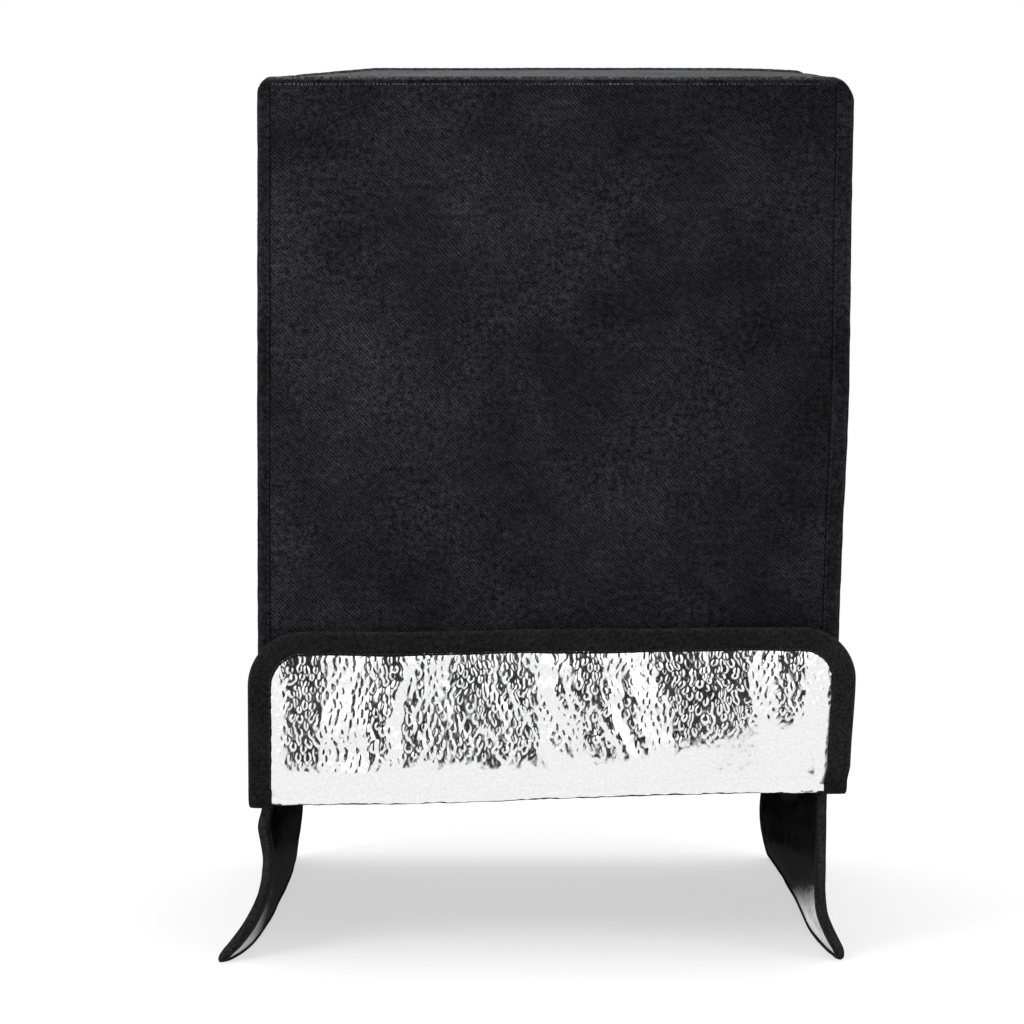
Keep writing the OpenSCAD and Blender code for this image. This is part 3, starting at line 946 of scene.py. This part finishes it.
def flap_lining(name, shape, to_body, foil, steps, height, emboss_from):
    """Foil with modelled embossing, which starts at the reach emboss_from(along)."""
    half, start, end, _ = shape
    edge, inner = half - SHEET_INSET, half - 11
    stations = joined(spaced(-edge, -inner, 1.5), spaced(-inner, inner, steps[0], 4),
                      spaced(inner, edge, 1.5))
    # the back is thinned by 4, so the number of gaps must divide by 4
    extra = (-(len(stations) - 1)) % 4
    if extra:
        stations = joined(stations, np.linspace(stations[0], stations[1], extra + 2))
    along, reach = sheet_grid(shape, stations, spaced(0, 1, steps[1] / (end - start), 4))
    margin = np.minimum(half - abs(along), free_edge(along, shape, 0) - reach)
    line = emboss_from(along)
    keep = smooth(line - 3, line + 9, reach) * smooth(8, 12, margin)
    relief = height * emboss(along, reach) * (0.05 + 0.95 * keep)
    relief = relief * smooth(start - 1, start + 3, reach)
    relief = relief + 0.05 * noise(along / 1.7, reach / 2.4, 81) * smooth(9, 13, margin)
    part = slab(to_body(points(along, reach, FOIL_FACE + relief)),
                to_body(points(along, reach, FOIL_BACK)), points(along, reach), thin=4)
    attach(make(name + "_lining", part, foil, sharp=60), name, "foil_lining", name + "_foil")


def flap_edging(name, shape, to_body, join):
    path = outline(shape)
    width = np.full(len(path), BINDING)
    if shape is SIDE_FLAP:
        # the edging narrows towards the hem
        width = 3.4 + 8.6 * smooth(shape.end - 1.5, shape.end - shape.radius - 9, path[:, 1])
    rings, uv, wear = edging_ring(path, width, 90)
    if join is not None:
        # the edging is doubled just right of the join, and painted lighter towards the right end,
        # as lit from the right
        along, reach, out = axes(rings.copy())
        over = smooth(join - 0.5, join + 0.5, along) * smooth(join + 26, join + 6, along)
        over = over * (reach > shape.end - 16)
        rings[..., 2] += 0.42 * np.sign(out) * over * (abs(out) > 2.08)
        rings[..., 1] += 0.5 * over * (reach > shape.end - 3)
        wear = wear + 0.30 * smooth(100, 150, along)
    attach(make(name + "_edging", tube(to_body(rings), uv, wear), TAPE),
           name, "binding_tape", name + "_binding")
    part = edge_stitches(path, width)
    part = part._replace(verts=to_body(part.verts))
    attach(make(name + "_stitches", part, THREAD, sharp=80), name, "binding_tape")


def flap(name, shape, to_body, foil, steps, height, emboss_from, join=None):
    flap_lining(name, shape, to_body, foil, steps, height, emboss_from)
    half, start, end, radius = shape
    edge, inner = half - SHEET_INSET, half - radius
    stations = joined(spaced(-edge, -inner, 1.6), spaced(-inner, inner, 3.0),
                      spaced(inner, edge, 1.6))
    along, reach = sheet_grid(shape, stations, spaced(0, 1, 2.2 / (end - start)))
    attach(flap_cloth(name + "_cloth", to_body, along, reach), name, "outer_fabric",
           name + "_fabric", name + "_core")
    flap_edging(name, shape, to_body, join)


front_steps = ((0.47, 0.72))
other_steps = (0.9, 1.3)
# (along, reach) where the embossing of the front flap starts
emboss_line = curve([(-150, 10), (-110, 10), (-60, 13), (20, 14), (60, 17), (80, 20), (100, 26),
                     (130, 37), (150, 42)], 7)
flap("front_flap", LONG_FLAP, front_map, FOIL, front_steps, 0.19, emboss_line, join=20.0)
flap("back_flap", LONG_FLAP, back_map, FOIL, other_steps, 0.26,
     lambda along: 12 + 3 * noise(along / 40, 0.3, 33))
for flap_name, flap_side in (("left_flap", -1), ("right_flap", 1)):
    flap(flap_name, SIDE_FLAP, side_map(flap_side), FOIL_PAINTED_SHADE, other_steps, 0.24,
         lambda along: 0 * along)


# --------------------------------------------------------- front and back folds

# Section of the edging at a fold: (distance in from the end, radius from the fold axis)
FOLD_SECTION = np.array([
    (0.0, 3.5), (0.25, 5.2), (0.9, 6.05), (3.0, 6.22), (6.0, 6.24), (9.2, 6.18), (10.6, 5.95),
    (11.3, 6.02), (11.9, 5.9), (12.0, 5.66), (6.0, 5.64), (2.0, 5.62), (1.3, 4.6), (1.3, 2.4),
    (2.0, 1.38), (6.0, 1.36), (12.0, 1.34), (11.9, 1.1), (9, 0.85), (3.0, 0.82), (0.9, 0.95),
    (0.25, 1.8)])


def fold_map(side):
    """Maps (along, turn, radius): turn is 0 at the wall and 1 at the flap."""
    flap_map = front_map if side < 0 else back_map
    stub = 3.0                  # straight length at each end of the bend
    arc = math.pi * 3.9

    def to_body(along, turn, radius):
        run = turn * (2 * stub + arc)
        angle = np.clip((run - 1.0) / (arc + stub - 1.0) * math.pi, 0, math.pi)
        flap_rise = np.clip(run - (arc + stub), 0, stub)
        y = HINGE - radius * np.cos(angle)
        z = FOLD - radius * np.sin(angle) + np.clip(1.0 - run, 0, 1.0) + flap_rise
        # near the wall it follows the body, further on the flap's own map
        x = np.clip(along, -FACE, FACE)
        on_wall = points(x, side * y, z) + sway(points(x, side * y, np.maximum(z, FOLD)))
        on_flap = (flap_map(points(along, flap_rise, radius - 3.5))
                   + points(0, side * (y - (HINGE + radius)), z - FOLD - flap_rise))
        share = smooth(0.0, 0.42, turn)[..., None]
        return on_wall * (1 - share) + on_flap * share
    return to_body


def fold_edging(to_body):
    """The edging carried on round the fold at both ends."""
    inset, section_radius = FOLD_SECTION.T[:, None]
    turn = spaced(0, 1, 0.05)[:, None]
    parts = []
    for end in (-1, 1):
        radius = section_radius + 0.1 * noise(turn * 6, inset / 3, 105 + end)
        radius = radius + ((0.9 if end < 0 else 0.1) * smooth(3.0, 5.0, section_radius)
                           * (smooth(0, 0.15, turn) * smooth(1.0, 0.72, turn)))
        half = HALF + 1.5 * smooth(0, 0.35, turn)
        # painted highlight along the rolled edge
        wear = np.broadcast_to(bell(inset, 0.9), radius.shape)
        parts.append(tube(to_body(end * (half - inset), turn, radius),
                          points(turn * 18, travel(FOLD_SECTION)), wear))
    return merge(parts)


def fold(name, side):
    to_body = fold_map(side)
    turns = spaced(0, 1, 0.035)
    along, turn = grid(spaced(-FACE, FACE, 0.8), turns)
    crinkle = (0.20 * noise(along / 2.2, turn * 9, 101 + side)
               + 0.18 * noise(along / 7, turn * 4, 102 + side))
    crinkle = crinkle * smooth(0, 0.12, turn) * smooth(0.86, 0.66, turn)
    part = slab(to_body(along, turn, 5.5 + crinkle + 0.12), to_body(along, turn, 4.9),
                points(along, FOLD - 9 + 18 * turn))
    lining = make(name + "_lining", part, FOIL if side < 0 else FOIL_PAINTED_SHADE, sharp=70)
    along, turn = grid(spaced(-FACE, FACE, 3.0), turns)
    part = slab(to_body(along, turn, 1.5), to_body(along, turn, 4.85),
                points(along, 88 + 9 * turn))
    cloth = make(name + "_cloth", part, CLOTH)
    edging = make(name + "_edging", fold_edging(to_body), TAPE)
    for piece, radius, slot in ((lining, 5.5, "foil_lining"), (cloth, 1.6, "outer_fabric"),
                                (edging, 6.0, "binding_tape")):
        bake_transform(piece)


fold("front_fold", -1)
fold("back_fold", 1)


# ------------------------------------------------------------ side hinge strips

def hinge(name, side):
    """Strip of cloth, foil and edging that joins a side wall to its flap."""
    to_body = side_map(side)
    share, reach = grid(np.linspace(-1, 1, 141), spaced(-8.0, 8.0, 0.8))
    along = share * (144.1 - 2.9 * smooth(-3, 7.5, reach))
    part = slab(to_body(points(along, reach, FOIL_FACE)), to_body(points(along, reach, FOIL_BACK)),
                points(along, reach))
    lining = make(name + "_lining", part, FOIL_PAINTED_SHADE)
    cloth = flap_cloth(name + "_cloth", to_body, along, reach)
    reach = spaced(-1.0, 8.0, 0.75)
    half = 144.0 - 0.5 * smooth(-1, 6, reach)
    parts = []
    for end in (-1, 1):
        path = points(end * half, reach, -end, 0)
        rings, uv, wear = edging_ring(path, np.full(len(path), BINDING), 95)
        parts.append(tube(to_body(rings), uv, wear))
    edging = make(name + "_edging", merge(parts), TAPE)
    for piece, slot in ((lining, "foil_lining"), (cloth, "outer_fabric"),
                        (edging, "binding_tape")):
        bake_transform(piece)


hinge("left_hinge", -1)
hinge("right_hinge", 1)


# ------------------------------------------------------------ studio, in metres

def floor_material():
    material = bpy.data.materials.new("pale_floor")
    nodes = Nodes(material)
    geometry = nodes.add("NewGeometry")
    x, y = nodes.split(geometry["Position"])[:2]
    rays = nodes.add("LightPath")
    # the camera sees more plain white with distance from the tent
    far = (x * x + y * y).apply("SQRT").line(2.2, -0.42, clamp=True).max(0.58)
    # in the foil, the room behind the camera and everything behind the tent is dark,
    # and the rest of the floor is white
    in_x, in_y, in_z = nodes.split(geometry["Incoming"])
    azimuth = in_x.apply("ARCTAN2", in_y).apply("ABSOLUTE")
    down = in_z.apply("ARCSINE")
    ahead = azimuth.angle_line(-10.0, 8.5, value=1.0)
    low = down.angle_line(-12.0, 12, value=1.0)
    lee = (x * -1.0).max(0.0).line(9.0, 0.45)
    behind = azimuth.angle_line(2.5, 118) * y.line(12.0, lee, clamp=True)
    dark = (ahead * low).max(behind)
    # painted shade in the reflections: a dark band under and behind the tent
    under = x.apply("ABSOLUTE").line(-30.0, 3.6, clamp=True) * y.line(20.0, -0.2, clamp=True)
    dark = dark.max(under)
    matt = nodes.add("BsdfDiffuse", {0: (0.93, 0.93, 0.93, 1)})
    white = nodes.add("Emission", {0: (1, 1, 1, 1)})
    seen = nodes.add("MixShader", {0: far * rays["Is Camera Ray"], 1: matt, 2: white})
    shine = nodes.add("Emission", {1: dark.line(-0.96, 0.98)})
    mixed = nodes.add("MixShader", {0: rays["Is Glossy Ray"], 1: seen, 2: shine})
    nodes.add("OutputMaterial", {0: mixed})
    return material


def add_floor():
    mesh = bpy.data.meshes.new("studio_floor")
    count = 48
    radii = [0.25, 0.6, 1.2, 3.0, 30.0]
    circle = [(math.cos(i * TAU / count), math.sin(i * TAU / count)) for i in range(count)]
    verts = [(0, 0, 0)] + [(radius * x, radius * y, 0) for radius in radii for x, y in circle]
    faces = [(0, 1 + i, 1 + (i + 1) % count) for i in range(count)]
    for start in range(1, 1 + (len(radii) - 1) * count, count):
        for i in range(count):
            j = (i + 1) % count
            faces.append((start + i, start + count + i, start + count + j, start + j))
    mesh.from_pydata(verts, [], faces)
    add_object("studio_floor", mesh)
    mesh.materials.append(floor_material())


def add_world():
    """White to the camera, softly graded for diffuse light, bright panels for reflections."""
    world = bpy.data.worlds.new("studio")
    bpy.context.scene.world = world
    nodes = Nodes(world)
    x, y, z = nodes.split(nodes.add("TexCoord")["Generated"])
    azimuth = x.apply("ARCTAN2", y * -1.0).apply("ABSOLUTE")    # 0 towards the camera
    elevation = z.apply("ARCSINE")
    side = azimuth.angle_line(10.0, 8.5) * azimuth.angle_line(-6.0, 76) * 1.5
    top = elevation.angle_line(5.0, 22) * 1.15
    rear = azimuth.angle_line(6.0, 104) * azimuth.angle_line(-8.0, 163)
    panels = side.max(top).max(rear.max(0.02))
    rays = nodes.add("LightPath")
    glossy, camera = rays["Is Glossy Ray"], rays["Is Camera Ray"]
    light = panels * glossy + z.line(0.30, 0.72) * glossy.complement()
    light = (light * camera.complement()).max(camera)
    nodes.add("OutputWorld", {0: nodes.add("Background", {0: light, 1: 1.0})})


def card_material():
    """Almost black, with faint lighter patches."""
    material = bpy.data.materials.new("black_card")
    nodes = Nodes(material)
    place = nodes.add("NewGeometry")["Position"]
    patches = nodes.add("TexNoise", {"Vector": place, "Scale": 32.0})
    strength = nodes.add("MapRange", {0: patches, 1: 0.46, 2: 0.64, 3: 0.0012, 4: 0.022})
    nodes.add("OutputMaterial", {0: nodes.add("Emission", {0: (0.95, 0.95, 1.0, 1),
                                                           1: strength})})
    return material


def add_card():
    """Card seen only in reflections, so the linings of the hanging flaps look shaded:
    a bottomless box inside the tent and an upright sheet behind it."""
    half_x, half_y, bottom, top = 0.122, 0.128, 0.045, 0.42
    verts = [(x, y, z) for z in (bottom, top)
             for x, y in ((-half_x, -half_y), (half_x, -half_y), (half_x, half_y),
                          (-half_x, half_y))]
    verts += [(-0.142, 0.162, 0.0005), (0.142, 0.162, 0.0005), (0.142, 0.162, 0.083),
              (-0.142, 0.162, 0.083)]
    mesh = bpy.data.meshes.new("black_card")
    mesh.from_pydata(verts, [], [(0, 1, 5, 4), (1, 2, 6, 5), (2, 3, 7, 6), (3, 0, 4, 7),
                                 (4, 5, 6, 7), (8, 9, 10, 11)])
    card = add_object("black_card", mesh)
    for kind in ("camera", "diffuse", "transmission", "volume_scatter", "shadow"):
        setattr(card, "visible_" + kind, False)
    mesh.materials.append(card_material())


def add_softbox(name, location, size, power):
    """Square light aimed at the middle of the tent."""
    light = bpy.data.lights.new(name, "AREA")
    light.energy = power
    light.size = size
    lamp = add_object(name, light)
    lamp.location = location
    aim = np.array((0, 0, 0.22)) - np.array(location)
    aim = aim / np.linalg.norm(aim)
    lamp.rotation_euler = (math.acos(-aim[2]), 0, math.atan2(aim[1], aim[0]) - math.pi / 2)
    lamp.visible_camera = False


def add_camera():
    data = bpy.data.cameras.new("camera")
    data.lens = 163.3
    data.sensor_width = 36.0
    data.clip_start = 0.05
    data.clip_end = 100
    camera = add_object("camera", data)
    camera.location = (-0.0185, -2.4823, 0.4885)
    camera.rotation_euler = (math.pi / 2 - 0.10984, 0, 0)
    bpy.context.scene.camera = camera


add_floor()
add_world()
add_card()
add_softbox("key_softbox", (-1.15, -1.35, 1.25), size=0.9, power=20)
add_softbox("fill_softbox", (1.35, -1.2, 0.9), size=0.8, power=7)
add_softbox("top_softbox", (0.1, 0.5, 1.7), size=1.0, power=12)
add_camera()
view = bpy.context.scene.view_settings
view.view_transform = "Standard"
view.look = "None"
view.exposure = 0.0
view.gamma = 1.0
